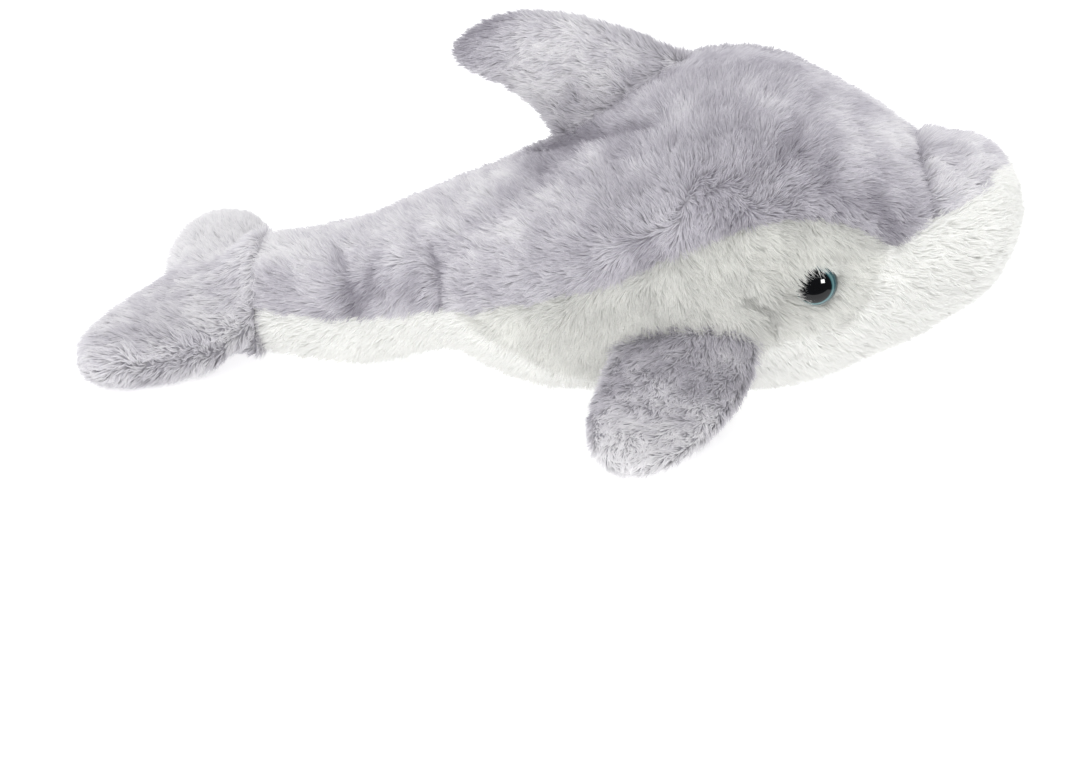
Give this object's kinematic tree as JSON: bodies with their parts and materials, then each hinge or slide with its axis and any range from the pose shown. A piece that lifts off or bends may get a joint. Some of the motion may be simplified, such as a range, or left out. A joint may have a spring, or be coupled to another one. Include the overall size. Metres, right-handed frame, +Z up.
{
  "type": "plush dolphin",
  "caption": "Stuffed plush dolphin lying on its belly, grey pile back, fins and fluke, white pile belly and snout, safety eyes, raised snout.",
  "frame": {"origin": "on the floor, under the middle of the toy's own bounding box", "axes": "+X from the tail towards the snout, +Y to the toy's left, +Z up"},
  "size_m": [0.2986, 0.188, 0.1189],
  "materials": {
    "grey_pile": "grey short pile plush",
    "off_white_pile": "off-white short pile plush",
    "white_pile": "white short pile plush",
    "fibre_fill": "loose polyester fibre",
    "eye_plastic": "gloss black with a teal rim",
    "washer_plastic": "plain white moulding"
  },
  "bodies": {
    "root": {"back_right": "grey_pile", "back_left": "grey_pile", "beak_top": "grey_pile", "flank_right": "off_white_pile", "flank_left": "off_white_pile", "belly": "white_pile", "dorsal_fin_right": "grey_pile", "dorsal_fin_left": "grey_pile", "flipper_right_upper": "grey_pile", "flipper_right_lower": "grey_pile", "flipper_left_upper": "grey_pile", "flipper_left_lower": "grey_pile", "fluke_upper": "grey_pile", "fluke_lower": "grey_pile", "eye_right": "eye_plastic", "eye_left": "eye_plastic", "eye_washer_right": "washer_plastic", "eye_washer_left": "washer_plastic", "body_stuffing": "fibre_fill", "dorsal_fin_stuffing": "fibre_fill", "flipper_right_stuffing": "fibre_fill", "flipper_left_stuffing": "fibre_fill", "fluke_stuffing": "fibre_fill"}
  },
  "joints": []
}
